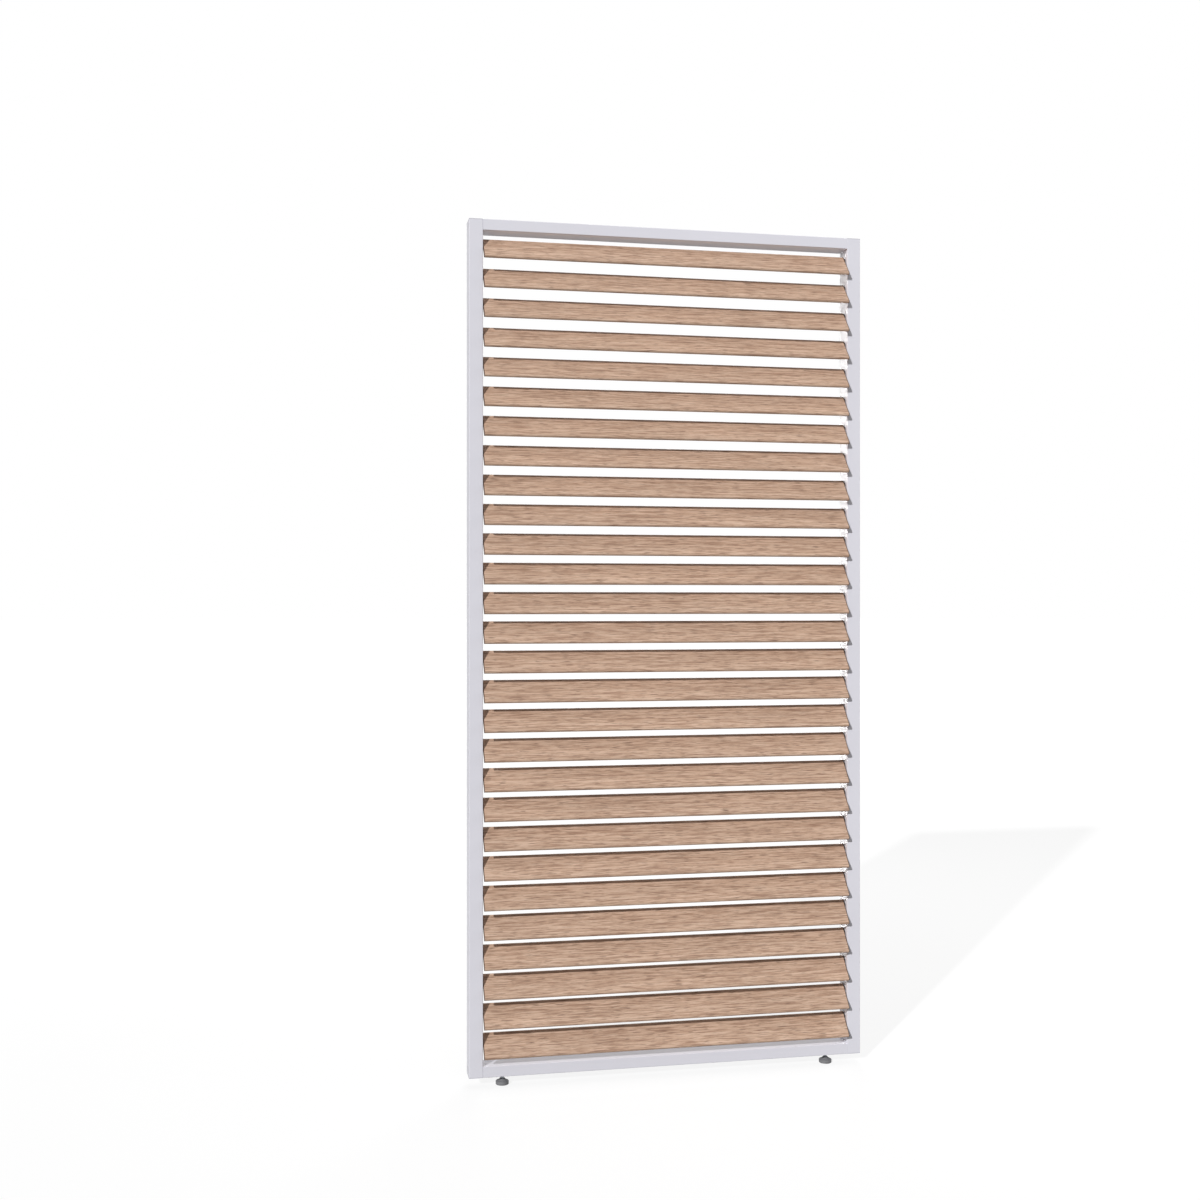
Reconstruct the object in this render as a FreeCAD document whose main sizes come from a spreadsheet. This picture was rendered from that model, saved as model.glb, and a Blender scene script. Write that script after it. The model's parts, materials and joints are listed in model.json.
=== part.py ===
import FreeCAD, Part
import os
import re

# Slatted screen: a slim frame of aluminium tube that holds a ladder of tilting slats.
# Millimetres, +Z up, +Y away from the viewer. The origin is on the floor, midway between
# the two sides, straight below the axes that the slats turn on.

SIZES = (
    ("frame_width", 1000.0, "frame, outside width"),
    ("frame_height", 2080.0, "frame, outside height with the stile caps"),
    ("frame_depth", 54.0, "frame, front face to back face"),
    ("stile_face", 34.0, "stile, width seen from the front"),
    ("rail_face", 27.0, "rail, height seen from the front"),
    ("tube_wall", 2.0, "wall of the frame tubes"),
    ("tube_edge", 1.5, "radius on the long edges of the frame tubes"),
    ("fit_gap", 0.1, "play round a piece that is pushed into a tube or hole"),
    ("run_gap", 0.05, "radial play of a pin that turns or slides"),
    ("front_to_axis", 20.0, "front face of the frame to the slat axes"),
    ("cap_plate", 2.0, "plate of a stile cap"),
    ("slat_count", 28.0, "number of slats"),
    ("slat_width", 70.0, "slat, edge to edge"),
    ("slat_thick", 8.4, "slat, thickness"),
    ("slat_wall", 1.4, "wall of the hollow slat"),
    ("rib_spacing", 20.0, "between the two ribs inside a slat"),
    ("axis_inset", 15.4, "top edge of a slat to its axis"),
    ("slat_tilt", 42.0, "slat at rest, degrees from upright"),
    ("first_axis_drop", 28.6, "top rail to the first axis"),
    ("last_axis_rise", 62.0, "bottom rail to the last axis"),
    ("end_plate", 1.5, "plate of a slat end cap"),
    ("end_plug", 12.0, "depth of an end cap inside the slat"),
    ("end_play", 0.4, "between a slat end cap and the flange of its bush"),
    ("pivot_radius", 3.0, "pivot pin of a slat"),
    ("bush_wall", 2.0, "wall of a pivot bush"),
    ("bush_flange", 0.8, "flange thickness of a pivot bush"),
    ("bush_rim", 2.0, "flange beyond the sleeve of a pivot bush"),
    ("bush_length", 8.0, "sleeve of a pivot bush"),
    ("crank_reach", 16.0, "slat axis to crank pin"),
    ("crank_radius", 2.5, "crank pin of a slat"),
    ("crank_rim", 1.7, "end cap material round the crank pin"),
    ("slot_gap", 0.8, "between a crank pin and its slot"),
    ("open_travel", 48.0, "degrees from rest to slats level"),
    ("slot_spare", 3.0, "degrees that a slot runs past the crank's travel"),
    ("link_width", 12.0, "link bar, front to back"),
    ("link_thick", 3.0, "link bar, thickness"),
    ("link_stand_off", 1.0, "between the bush sleeves and the link bar"),
    ("link_overhang", 10.0, "link bar past its end holes"),
    ("pin_overhang", 1.5, "crank pin past the link bar"),
    ("block_length", 22.0, "corner block, along the rail"),
    ("screw_radius", 2.5, "frame screw, shank"),
    ("screw_spread", 22.0, "between the two screws of a corner"),
    ("screw_bite", 16.0, "frame screw, length in the corner block"),
    ("head_radius", 4.5, "frame screw, head"),
    ("head_height", 3.0, "frame screw, head height"),
    ("head_play", 1.0, "access hole, beyond the screw head"),
    ("plug_depth", 3.0, "plug in an access hole"),
    ("fixing_radius", 3.5, "holes that take the bolts to the post"),
    ("fixing_spacing", 1500.0, "between the two fixing holes"),
    ("fixing_set_back", 16.0, "slat axes to the fixing holes"),
    ("foot_drop", 26.0, "floor to the underside of the frame"),
    ("foot_inset", 84.0, "side of the frame to the middle of a foot"),
    ("stud_radius", 4.0, "stud of a foot"),
    ("stud_rise", 16.0, "stud above the floor of the rail tube"),
    ("insert_radius", 8.0, "threaded insert, inside the rail"),
    ("insert_neck", 6.0, "threaded insert, radius in the rail wall"),
    ("insert_height", 12.0, "threaded insert, inside the rail"),
    ("nut_radius", 7.5, "lock nut, across its corners by two"),
    ("nut_height", 5.0, "lock nut"),
    ("pad_radius", 16.0, "foot pad"),
    ("pad_rim", 8.5, "straight rim of a foot pad"),
    ("pad_height", 15.0, "foot pad with its neck"),
    ("neck_radius", 6.5, "top of a foot pad's neck"),
    ("socket_depth", 8.0, "stud inside its foot pad"),
)

# Sums of sizes that several pieces share
OPENING = "(frame_width - 2 * stile_face)"
INNER_X = "(frame_width / 2 - stile_face)"
OUTER_X = "(frame_width / 2)"
FRONT_Y = "(-front_to_axis)"
MIDDLE_Y = "(frame_depth / 2 - front_to_axis)"
FRAME_TOP = "(foot_drop + frame_height)"
OPENING_TOP = "(foot_drop + frame_height - rail_face)"
PITCH = "((frame_height - 2 * rail_face - first_axis_drop - last_axis_rise) / (slat_count - 1))"
FIRST_AXIS = "(foot_drop + frame_height - rail_face - first_axis_drop)"
BUSH_RADIUS = "(pivot_radius + run_gap + bush_wall)"
CAP_X = "(frame_width / 2 - stile_face - bush_flange - end_play)"
SLAT_HALF = "(frame_width / 2 - stile_face - bush_flange - end_play - end_plate)"
LINK_X = "(-frame_width / 2 + stile_face - bush_length - link_stand_off - link_thick)"
CAP_PLUG = "(rail_face / 2 - head_radius - head_play - cap_plate)"
STUD_FLOOR = "(foot_drop + tube_wall)"
STUD_BOTTOM = "(pad_height - socket_depth)"

ALONG_X = FreeCAD.Rotation(FreeCAD.Vector(0, 1, 0), 90)
UPRIGHT = FreeCAD.Rotation()
SIDES = (("left", -1), ("right", 1))
CELL = re.compile("|".join(r"\b%s\b" % row[0] for row in SIZES))

doc = FreeCAD.newDocument("slatted_screen")
sheet = doc.addObject("Spreadsheet::Sheet", "sizes")
for row, (alias, value, note) in enumerate(SIZES, start=1):
    sheet.set("A%d" % row, note)
    sheet.set("B%d" % row, str(value))
    sheet.setAlias("B%d" % row, alias)
doc.recompute()
SLATS = range(int(sheet.slat_count))
sub_parts = []


def bind(item, **formulas):
    """Tie properties of an object to formulas in the aliases of the sheet."""
    for name, formula in formulas.items():
        path = name.replace("__", ".")
        item.setExpression(path, CELL.sub(lambda cell: "sizes." + cell.group(0), formula))
    return item


def place(item, x="0", y="0", z="0", turn=UPRIGHT):
    """Put an object at formulas for x, y and z, turned by a fixed rotation."""
    item.Placement = FreeCAD.Placement(FreeCAD.Vector(), turn)
    return bind(item, Placement__Base__x=x, Placement__Base__y=y, Placement__Base__z=z)


def box(name, sizes, corner):
    """A block with its sizes along x, y and z and its lowest corner."""
    block = doc.addObject("Part::Box", name)
    bind(block, Length=sizes[0], Width=sizes[1], Height=sizes[2])
    return place(block, *corner)


def rod(name, radius, length, start, turn=UPRIGHT):
    """A round bar from its start, along +Z, or along +X when turned."""
    bar = doc.addObject("Part::Cylinder", name)
    bind(bar, Radius=radius, Height=length)
    return place(bar, *start, turn=turn)


def fuse(name, *pieces):
    """Pieces joined into one solid."""
    whole = doc.addObject("Part::MultiFuse", name)
    whole.Shapes = list(pieces)
    whole.Refine = True
    return whole


def cut(name, base, tool):
    """A base with a tool taken out of it."""
    rest = doc.addObject("Part::Cut", name)
    rest.Base = base
    rest.Tool = tool
    return rest


def group(name, *pieces):
    """Separate pieces side by side in one object."""
    several = doc.addObject("Part::Compound", name)
    several.Links = list(pieces)
    return several


def sub_part(item, label):
    """Name an object as a piece of the screen that gets a file of its own."""
    item.Label = label
    sub_parts.append(item)
    return item


def ladder(name, piece):
    """Copies of a piece, made at height zero, one at each slat axis."""
    steps = []
    for number in SLATS:
        step = group("%s_%02d" % (name, number + 1), piece)
        steps.append(place(step, z="%s - %d * %s" % (FIRST_AXIS, number, PITCH)))
    return group(name, *steps)


def rounded_tube(name, sizes, corner, direction):
    """A rectangular tube along x or z with its four long outer edges rounded."""
    outer = box(name + "_outer", sizes, corner)
    doc.recompute()
    long_edges = []
    for index, edge in enumerate(outer.Shape.Edges, start=1):
        run = edge.Vertexes[1].Point - edge.Vertexes[0].Point
        if abs(run.normalize().dot(direction)) > 0.99:
            long_edges.append((index, sheet.tube_edge, sheet.tube_edge))
    rounded = doc.addObject("Part::Fillet", name + "_rounded")
    rounded.Base = outer
    rounded.Edges = long_edges
    inside_sizes = []
    inside_corner = []
    for size, low, along in zip(sizes, corner, direction):
        thinner = "0" if along else "2 * tube_wall"
        further = "0" if along else "tube_wall"
        inside_sizes.append("%s - %s" % (size, thinner))
        inside_corner.append("%s + %s" % (low, further))
    return cut(name + "_tube", rounded, box(name + "_inside", inside_sizes, inside_corner))


def corner_spots():
    """Name, side sign, and the formula for the height of the middle of the rail, per corner."""
    low = "(foot_drop + rail_face / 2)"
    high = "(foot_drop + frame_height - rail_face / 2)"
    for side, sign in SIDES:
        yield "bottom_" + side, sign, low
        yield "top_" + side, sign, high


def screw_rows():
    """Y formulas of the two screws of a corner."""
    for sign in (-1, 1):
        yield "%s + %d * screw_spread / 2" % (MIDDLE_Y, sign)


def between(sign, near, far):
    """Lowest x of a span from near to far, measured outwards on the side with this sign."""
    return "-(%s)" % far if sign < 0 else near


def screw_holes(name, sign, inner_radius, outer_radius):
    """Drills for the screws of one stile: a shank hole inside and an access hole outside."""
    drills = []
    for corner, corner_sign, height in corner_spots():
        if corner_sign != sign:
            continue
        for number, y in enumerate(screw_rows()):
            label = "%s_%s_%d" % (name, corner, number)
            inner = between(sign, INNER_X, INNER_X + " + tube_wall")
            outer = between(sign, OUTER_X + " - tube_wall", OUTER_X)
            drills.append(rod(label + "_in", inner_radius, "tube_wall", (inner, y, height), ALONG_X))
            drills.append(rod(label + "_out", outer_radius, "tube_wall", (outer, y, height), ALONG_X))
    return drills


def bush_drill(side, sign):
    """Drill for one pivot bush, at height zero, through the inner wall of a stile."""
    start = between(sign, INNER_X, INNER_X + " + tube_wall")
    return rod(side + "_bush_drill", BUSH_RADIUS + " + fit_gap", "tube_wall", (start, "0", "0"), ALONG_X)


def crank_slot():
    """Arc slot for one crank pin, at height zero, through the inner wall of the left stile."""
    start = (between(-1, INNER_X, INNER_X + " + tube_wall"), "0", "0")
    half = "(crank_radius + slot_gap)"
    sector = rod("slot_sector", "crank_reach + " + half, "tube_wall", start, ALONG_X)
    spare = "(slot_spare + asin(%s / crank_reach) / 1 deg)" % half
    bind(sector, Angle="open_travel + slat_tilt + 2 * " + spare)
    core = rod("slot_core", "crank_reach - " + half, "tube_wall", start, ALONG_X)
    slot = cut("slot_ring", sector, core)
    # The sector starts straight down, so it is turned up to where the crank points at full open
    slot.Placement = FreeCAD.Placement(FreeCAD.Vector(), FreeCAD.Rotation(FreeCAD.Vector(1, 0, 0), 90))
    return bind(slot, Placement__Rotation__Angle="90 - open_travel - " + spare)


def stile(side, sign):
    """Upright tube with bush holes, screw holes, and either crank slots or fixing holes."""
    low_x = between(sign, INNER_X, OUTER_X)
    length = "frame_height - 2 * cap_plate"
    tube = rounded_tube(side + "_stile", ("stile_face", "frame_depth", length),
                        (low_x, FRONT_Y, "foot_drop + cap_plate"), FreeCAD.Vector(0, 0, 1))
    drills = screw_holes(side + "_screw_hole", sign, "screw_radius + fit_gap", "head_radius + head_play")
    drills.append(ladder(side + "_bush_drills", bush_drill(side, sign)))
    if sign < 0:
        drills.append(ladder("crank_slots", crank_slot()))
    else:
        for step in (-1, 1):
            height = "foot_drop + frame_height / 2 + %d * fixing_spacing / 2" % step
            start = (low_x, "fixing_set_back", height)
            drills.append(rod("fixing_drill", "fixing_radius", "stile_face", start, ALONG_X))
    sub_part(cut(side + "_stile_drilled", tube, group(side + "_drills", *drills)), side + "_stile")


def stile_cap(side, sign, end, plate_z, plug_z):
    """Plate that closes one end of a stile, with a plug inside the tube."""
    low_x = between(sign, INNER_X, OUTER_X)
    name = "%s_%s_stile_cap" % (end, side)
    plate = box(name + "_plate", ("stile_face", "frame_depth", "cap_plate"), (low_x, FRONT_Y, plate_z))
    inset = "(tube_wall + fit_gap)"
    plug = box(name + "_plug", ("stile_face - 2 * " + inset, "frame_depth - 2 * " + inset, CAP_PLUG),
               (low_x + " + " + inset, FRONT_Y + " + " + inset, plug_z))
    sub_part(fuse(name, plate, plug), name)


def rail(end, low_z, insert_holes):
    """Level tube between the stiles, drilled for the feet where it has them."""
    tube = rounded_tube(end + "_rail", (OPENING, "frame_depth", "rail_face"),
                        ("-" + INNER_X, FRONT_Y, low_z), FreeCAD.Vector(1, 0, 0))
    if insert_holes:
        drills = []
        for side, sign in SIDES:
            start = (foot_x(sign), MIDDLE_Y, "foot_drop")
            drills.append(rod(side + "_foot_drill", "insert_neck + fit_gap", "tube_wall", start))
        tube = cut(end + "_rail_drilled", tube, group("foot_drills", *drills))
    sub_part(tube, end + "_rail")


def corner_block(corner, sign, height):
    """Block in the end of a rail, bored for two frame screws."""
    inset = "(tube_wall + fit_gap)"
    low_x = between(sign, INNER_X + " - block_length", INNER_X)
    deep = "frame_depth - 2 * " + inset
    tall = "rail_face - 2 * " + inset
    low_z = "%s - rail_face / 2 + %s" % (height, inset)
    block = box(corner + "_block", ("block_length", deep, tall), (low_x, FRONT_Y + " + " + inset, low_z))
    bores = []
    for number, y in enumerate(screw_rows()):
        bores.append(rod("%s_bore_%d" % (corner, number), "screw_radius + run_gap", "block_length",
                         (low_x, y, height), ALONG_X))
    sub_part(cut(corner + "_bored", block, group(corner + "_bores", *bores)), corner + "_corner_block")


def frame_screws():
    """Two screws at each corner, with heads inside the stile, and a plug over each one."""
    screws = []
    plugs = []
    for corner, sign, height in corner_spots():
        for number, y in enumerate(screw_rows()):
            label = "%s_screw_%d" % (corner, number)
            shank_x = between(sign, INNER_X + " - screw_bite", INNER_X + " + tube_wall")
            head_x = between(sign, INNER_X + " + tube_wall", INNER_X + " + tube_wall + head_height")
            plug_x = between(sign, OUTER_X + " - plug_depth", OUTER_X)
            shank = rod(label + "_shank", "screw_radius", "screw_bite + tube_wall",
                        (shank_x, y, height), ALONG_X)
            head = rod(label + "_head", "head_radius", "head_height", (head_x, y, height), ALONG_X)
            screws.append(fuse(label, shank, head))
            plugs.append(rod(label + "_plug", "head_radius + head_play - fit_gap", "plug_depth",
                             (plug_x, y, height), ALONG_X))
    sub_part(group("frame_screws", *screws), "frame_screws")
    sub_part(group("screw_hole_plugs", *plugs), "screw_hole_plugs")


def pivot_bushes(side, sign):
    """Flanged bushes, one per slat, seated in the inner wall of a stile."""
    sleeve_x = between(sign, INNER_X, INNER_X + " + bush_length")
    flange_x = between(sign, INNER_X + " - bush_flange", INNER_X)
    sleeve = rod(side + "_bush_sleeve", BUSH_RADIUS, "bush_length", (sleeve_x, "0", "0"), ALONG_X)
    flange = rod(side + "_bush_rim", BUSH_RADIUS + " + bush_rim", "bush_flange",
                 (flange_x, "0", "0"), ALONG_X)
    bore_x = between(sign, INNER_X + " - bush_flange", INNER_X + " + bush_length")
    bore = rod(side + "_bush_bore", "pivot_radius + run_gap", "bush_length + bush_flange",
               (bore_x, "0", "0"), ALONG_X)
    bush = cut(side + "_bush", fuse(side + "_bush_blank", sleeve, flange), bore)
    sub_part(ladder(side + "_pivot_bushes", bush), side + "_pivot_bushes")


def stadium(name, low_x, length, width, thick, top):
    """A flat bar along x with half-round edges, upright, its top edge at a height over the axis."""
    middle = box(name + "_middle", (length, thick, "%s - %s" % (width, thick)),
                 (low_x, "-(%s) / 2" % thick, "%s - %s + (%s) / 2" % (top, width, thick)))
    upper = rod(name + "_upper", "(%s) / 2" % thick, length,
                (low_x, "0", "%s - (%s) / 2" % (top, thick)), ALONG_X)
    lower = rod(name + "_lower", "(%s) / 2" % thick, length,
                (low_x, "0", "%s - %s + (%s) / 2" % (top, width, thick)), ALONG_X)
    return fuse(name, middle, upper, lower)


def lean(item):
    """Turn a piece about the slat axis from upright to the resting tilt."""
    item.Placement = FreeCAD.Placement(FreeCAD.Vector(), FreeCAD.Rotation(FreeCAD.Vector(-1, 0, 0), 1))
    return bind(item, Placement__Rotation__Angle="slat_tilt")


def slat_middle():
    """Height of the middle of an upright slat over its axis."""
    return "(axis_inset - slat_width / 2)"


def blade():
    """Hollow slat with two ribs, leaning at the resting tilt about its axis."""
    length = "2 * " + SLAT_HALF
    low_x = "-" + SLAT_HALF
    skin = stadium("blade_skin", low_x, length, "slat_width", "slat_thick", "axis_inset")
    hollow = stadium("blade_hollow", low_x, length, "(slat_width - 2 * slat_wall)",
                     "(slat_thick - 2 * slat_wall)", "(axis_inset - slat_wall)")
    pieces = [cut("blade_shell", skin, hollow)]
    for sign in (-1, 1):
        low_z = "%s + %d * rib_spacing / 2 - slat_wall / 2" % (slat_middle(), sign)
        pieces.append(box("blade_rib", (length, "slat_thick - slat_wall", "slat_wall"),
                          (low_x, "-(slat_thick - slat_wall) / 2", low_z)))
    return lean(fuse("blade", *pieces))


def end_cap(side, sign):
    """Cap on a slat end: plate, plug between the ribs, pivot pin, and on the left a crank."""
    plate_x = between(sign, SLAT_HALF, CAP_X)
    plate = stadium(side + "_end_plate", plate_x, "end_plate", "slat_width", "slat_thick", "axis_inset")
    plug_x = between(sign, SLAT_HALF + " - end_plug", SLAT_HALF)
    plug_thick = "(slat_thick - 2 * slat_wall - 2 * fit_gap)"
    plug_wide = "(rib_spacing - slat_wall - 2 * fit_gap)"
    plug = box(side + "_end_plug", ("end_plug", plug_thick, plug_wide),
               (plug_x, "-%s / 2" % plug_thick, "%s - %s / 2" % (slat_middle(), plug_wide)))
    pin_length = "end_play + bush_flange + bush_length"
    pin_x = between(sign, CAP_X, INNER_X + " + bush_length")
    pieces = [lean(fuse(side + "_end_body", plate, plug))]
    pieces.append(rod(side + "_pivot_pin", "pivot_radius", pin_length, (pin_x, "0", "0"), ALONG_X))
    if sign < 0:
        pieces.extend(crank(plate_x))
    return fuse(side + "_end_cap", *pieces)


def crank(plate_x):
    """Arm that points straight back from the axis, and the pin at its end."""
    half = "(crank_radius + crank_rim)"
    arm = box("crank_arm", ("end_plate", "crank_reach", "2 * " + half), (plate_x, "0", "-" + half))
    tip = rod("crank_tip", half, "end_plate", (plate_x, "crank_reach", "0"), ALONG_X)
    pin_x = LINK_X + " - pin_overhang"
    pin_length = "-%s - (%s)" % (CAP_X, pin_x)
    pin = rod("crank_pin", "crank_radius", pin_length, (pin_x, "crank_reach", "0"), ALONG_X)
    return arm, tip, pin


def slats():
    """Every slat with its two end caps, each on its own axis."""
    pieces = (blade(), end_cap("left", -1), end_cap("right", 1))
    for number in SLATS:
        name = "slat_%02d" % (number + 1)
        slat = group(name, *pieces)
        sub_part(place(slat, z="%s - %d * %s" % (FIRST_AXIS, number, PITCH)), name)


def link_bar():
    """Flat bar inside the left stile that ties the crank pins together."""
    length = "(slat_count - 1) * %s + 2 * link_overhang" % PITCH
    low_z = "%s - (slat_count - 1) * %s - link_overhang" % (FIRST_AXIS, PITCH)
    bar = box("link_blank", ("link_thick", "link_width", length),
              (LINK_X, "crank_reach - link_width / 2", low_z))
    hole = rod("link_hole", "crank_radius + run_gap", "link_thick", (LINK_X, "crank_reach", "0"), ALONG_X)
    sub_part(cut("link_bar", bar, ladder("link_holes", hole)), "link_bar")


def foot_x(sign):
    """X of the middle of a foot."""
    return "%d * (frame_width / 2 - foot_inset)" % sign


def foot(side, sign):
    """Levelling foot: insert in the rail, lock nut under it, stud and pad."""
    x = foot_x(sign)
    body = rod(side + "_insert_body", "insert_radius", "insert_height", (x, MIDDLE_Y, STUD_FLOOR))
    neck = rod(side + "_insert_neck", "insert_neck", "tube_wall", (x, MIDDLE_Y, "foot_drop"))
    bore = rod(side + "_insert_bore", "stud_radius + run_gap", "insert_height + tube_wall",
               (x, MIDDLE_Y, "foot_drop"))
    insert = cut(side + "_insert", fuse(side + "_insert_blank", body, neck), bore)
    sub_part(insert, side + "_foot_insert")

    hexagon = doc.addObject("Part::Prism", side + "_nut_blank")
    hexagon.Polygon = 6
    bind(hexagon, Circumradius="nut_radius", Height="nut_height")
    nut_z = "foot_drop - nut_height"
    place(hexagon, x, MIDDLE_Y, nut_z)
    nut_bore = rod(side + "_nut_bore", "stud_radius + run_gap", "nut_height", (x, MIDDLE_Y, nut_z))
    sub_part(cut(side + "_nut", hexagon, nut_bore), side + "_foot_lock_nut")

    stud_length = "%s + stud_rise - %s" % (STUD_FLOOR, STUD_BOTTOM)
    stud = rod(side + "_stud", "stud_radius", stud_length, (x, MIDDLE_Y, STUD_BOTTOM))
    sub_part(stud, side + "_foot_stud")

    rim = rod(side + "_pad_rim", "pad_radius", "pad_rim", (x, MIDDLE_Y, "0"))
    cone = doc.addObject("Part::Cone", side + "_pad_cone")
    bind(cone, Radius1="pad_radius", Radius2="neck_radius", Height="pad_height - pad_rim")
    place(cone, x, MIDDLE_Y, "pad_rim")
    socket = rod(side + "_socket", "stud_radius", "socket_depth", (x, MIDDLE_Y, STUD_BOTTOM))
    sub_part(cut(side + "_pad", fuse(side + "_pad_blank", rim, cone), socket), side + "_foot_pad")


def build():
    """Make every piece of the screen."""
    for side, sign in SIDES:
        stile(side, sign)
        top_of_tube = FRAME_TOP + " - cap_plate"
        stile_cap(side, sign, "top", top_of_tube, top_of_tube + " - " + CAP_PLUG)
        stile_cap(side, sign, "bottom", "foot_drop", "foot_drop + cap_plate")
        pivot_bushes(side, sign)
        foot(side, sign)
    rail("top", OPENING_TOP, False)
    rail("bottom", "foot_drop", True)
    for corner, sign, height in corner_spots():
        corner_block(corner, sign, height)
    frame_screws()
    link_bar()
    slats()


def check_and_write():
    """Stop on any failed object or bad shape, then write one file per piece."""
    for item in doc.Objects:
        if {"Invalid", "Error"} & set(item.State):
            raise RuntimeError("%s failed: %s" % (item.Label, item.State))
    for piece in sub_parts:
        if piece.Shape.isNull() or not piece.Shape.isValid() or not piece.Shape.Solids:
            raise RuntimeError("%s has a bad shape" % piece.Label)
    os.makedirs("parts", exist_ok=True)
    for piece in sub_parts:
        piece.Shape.exportStep(os.path.join("parts", piece.Label + ".step"))


build()
doc.recompute()
check_and_write()
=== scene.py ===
"""Slatted screen: finishes for its frame, decor slats and levelling feet, and a plain studio."""
import json
import math

import bpy
import numpy as np
from bpy.props import FloatProperty, FloatVectorProperty, IntProperty, PointerProperty
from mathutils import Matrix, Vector

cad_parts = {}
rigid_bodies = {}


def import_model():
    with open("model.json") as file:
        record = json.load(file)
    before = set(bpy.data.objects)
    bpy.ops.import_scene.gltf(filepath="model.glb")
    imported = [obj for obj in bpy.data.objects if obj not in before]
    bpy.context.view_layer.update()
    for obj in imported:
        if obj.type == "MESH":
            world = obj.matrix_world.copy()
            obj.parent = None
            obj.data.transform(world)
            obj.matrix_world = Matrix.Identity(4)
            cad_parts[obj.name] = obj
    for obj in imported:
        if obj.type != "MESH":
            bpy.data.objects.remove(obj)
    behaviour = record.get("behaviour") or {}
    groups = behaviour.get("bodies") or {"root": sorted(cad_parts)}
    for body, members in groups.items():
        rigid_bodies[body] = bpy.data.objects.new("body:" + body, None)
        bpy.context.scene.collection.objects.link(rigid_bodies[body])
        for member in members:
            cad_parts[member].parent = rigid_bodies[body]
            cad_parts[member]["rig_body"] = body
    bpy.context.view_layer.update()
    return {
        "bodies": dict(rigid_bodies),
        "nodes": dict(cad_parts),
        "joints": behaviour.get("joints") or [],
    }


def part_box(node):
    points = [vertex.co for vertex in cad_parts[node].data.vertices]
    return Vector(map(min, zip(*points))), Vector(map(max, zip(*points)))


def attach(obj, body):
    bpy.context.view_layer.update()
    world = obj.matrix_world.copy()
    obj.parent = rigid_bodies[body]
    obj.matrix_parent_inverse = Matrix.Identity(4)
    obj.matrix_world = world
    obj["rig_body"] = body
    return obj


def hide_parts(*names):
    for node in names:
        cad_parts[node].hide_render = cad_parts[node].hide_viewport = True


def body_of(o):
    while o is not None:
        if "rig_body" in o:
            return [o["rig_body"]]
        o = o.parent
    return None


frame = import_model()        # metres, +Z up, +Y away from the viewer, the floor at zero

bl_info = {
    "name": "Slatted Screen",
    "version": (1, 0, 0),
    "blender": (4, 5, 0),
    "location": "3D View > Sidebar > Screen",
    "description": "Builds a screen's slats and feet, finishes its frame and sets up a studio",
    "category": "Object",
}

MM = 0.001
SLATS = sorted(name for name in frame["bodies"] if name.startswith("slat_"))
AXIS_HEIGHT = {joint["child"]: joint["pos_m"][2] for joint in frame["joints"]
               if joint["child"] in SLATS}
FEET = ("left_foot", "right_foot")
OPENING_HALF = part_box("right_stile")[0].x

PRINT_STEP = np.array([1.137, 0.291])   # metres of decor, along and across, from slat to slat
ROUND_STEPS = 5          # points of a quarter round on the rim of a pad
NECK_STEPS = 14          # rows of points up the neck of a pad
NECK_POWER = 1.5         # how fast the neck of a pad narrows
STUD_POINTS = 24         # points round a stud
PITCH_ROWS = 8           # rows of points per pitch of a thread
THREAD_SHARP_DEG = 80.0  # keeps the flanks of a thread smooth
NUT_POINTS = 72          # points round a nut
NUT_FACE = 1.01          # radius of a nut's bevelled end, in widths of its flats
FLOOR_REACH = np.array([1.0, 3.0, 9.0, 30.0, 100.0])    # radii of the floor's rings, in metres
FLOOR_POINTS = 64        # points round the floor
LIFT_FROM, LIFT_TO = 1.5, 7.0    # metres from the middle between which the floor grows whiter
SENSOR_MM = 36.0         # width of the camera's sensor

# Area lamps: name, setting with the power, way it shines, place, and width and height, in metres
SOFTBOXES = (
    ("right_softbox", "right_power", (-1.0, 0.15, -0.15), (3.2, -0.5, 1.5), (1.8, 2.6)),
    ("top_softbox", "top_power", (0.0, 0.35, -1.0), (0.0, -1.2, 4.6), (2.6, 1.6)),
    ("back_softbox", "back_power", (-0.2, -1.0, -0.8), (0.6, 2.5, 3.0), (1.8, 2.0)),
    ("strip_light", "strip_power", (0.35, -1.0, 0.0), (0.0, 1.2, 1.12), (0.2, 2.2)),
)


def linear(code):
    """Linear RGBA of an sRGB hex code: each channel through the sRGB curve, alpha one."""
    channels = np.array([int(code[i:i + 2], 16) for i in (1, 3, 5)]) / 255.0
    curve = np.where(channels <= 0.04045, channels / 12.92, ((channels + 0.055) / 1.055) ** 2.4)
    return (*(float(value) for value in curve), 1.0)


def length(name, description, millimetres):
    """A length that the sidebar shows, given in millimetres and kept in metres."""
    return FloatProperty(name=name, description=description, default=millimetres * MM, min=0.0,
                         precision=4, subtype="DISTANCE", unit="LENGTH")


def colour(name, description, code):
    """A colour that the sidebar shows, given as an sRGB hex code."""
    return FloatVectorProperty(name=name, description=description, default=linear(code), size=4,
                               min=0.0, max=1.0, subtype="COLOR")


def power(name, watts):
    """A lamp's power that the sidebar shows, in watts."""
    return FloatProperty(name=name, description="Power in watts", default=watts, min=0.0,
                         subtype="POWER")


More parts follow.
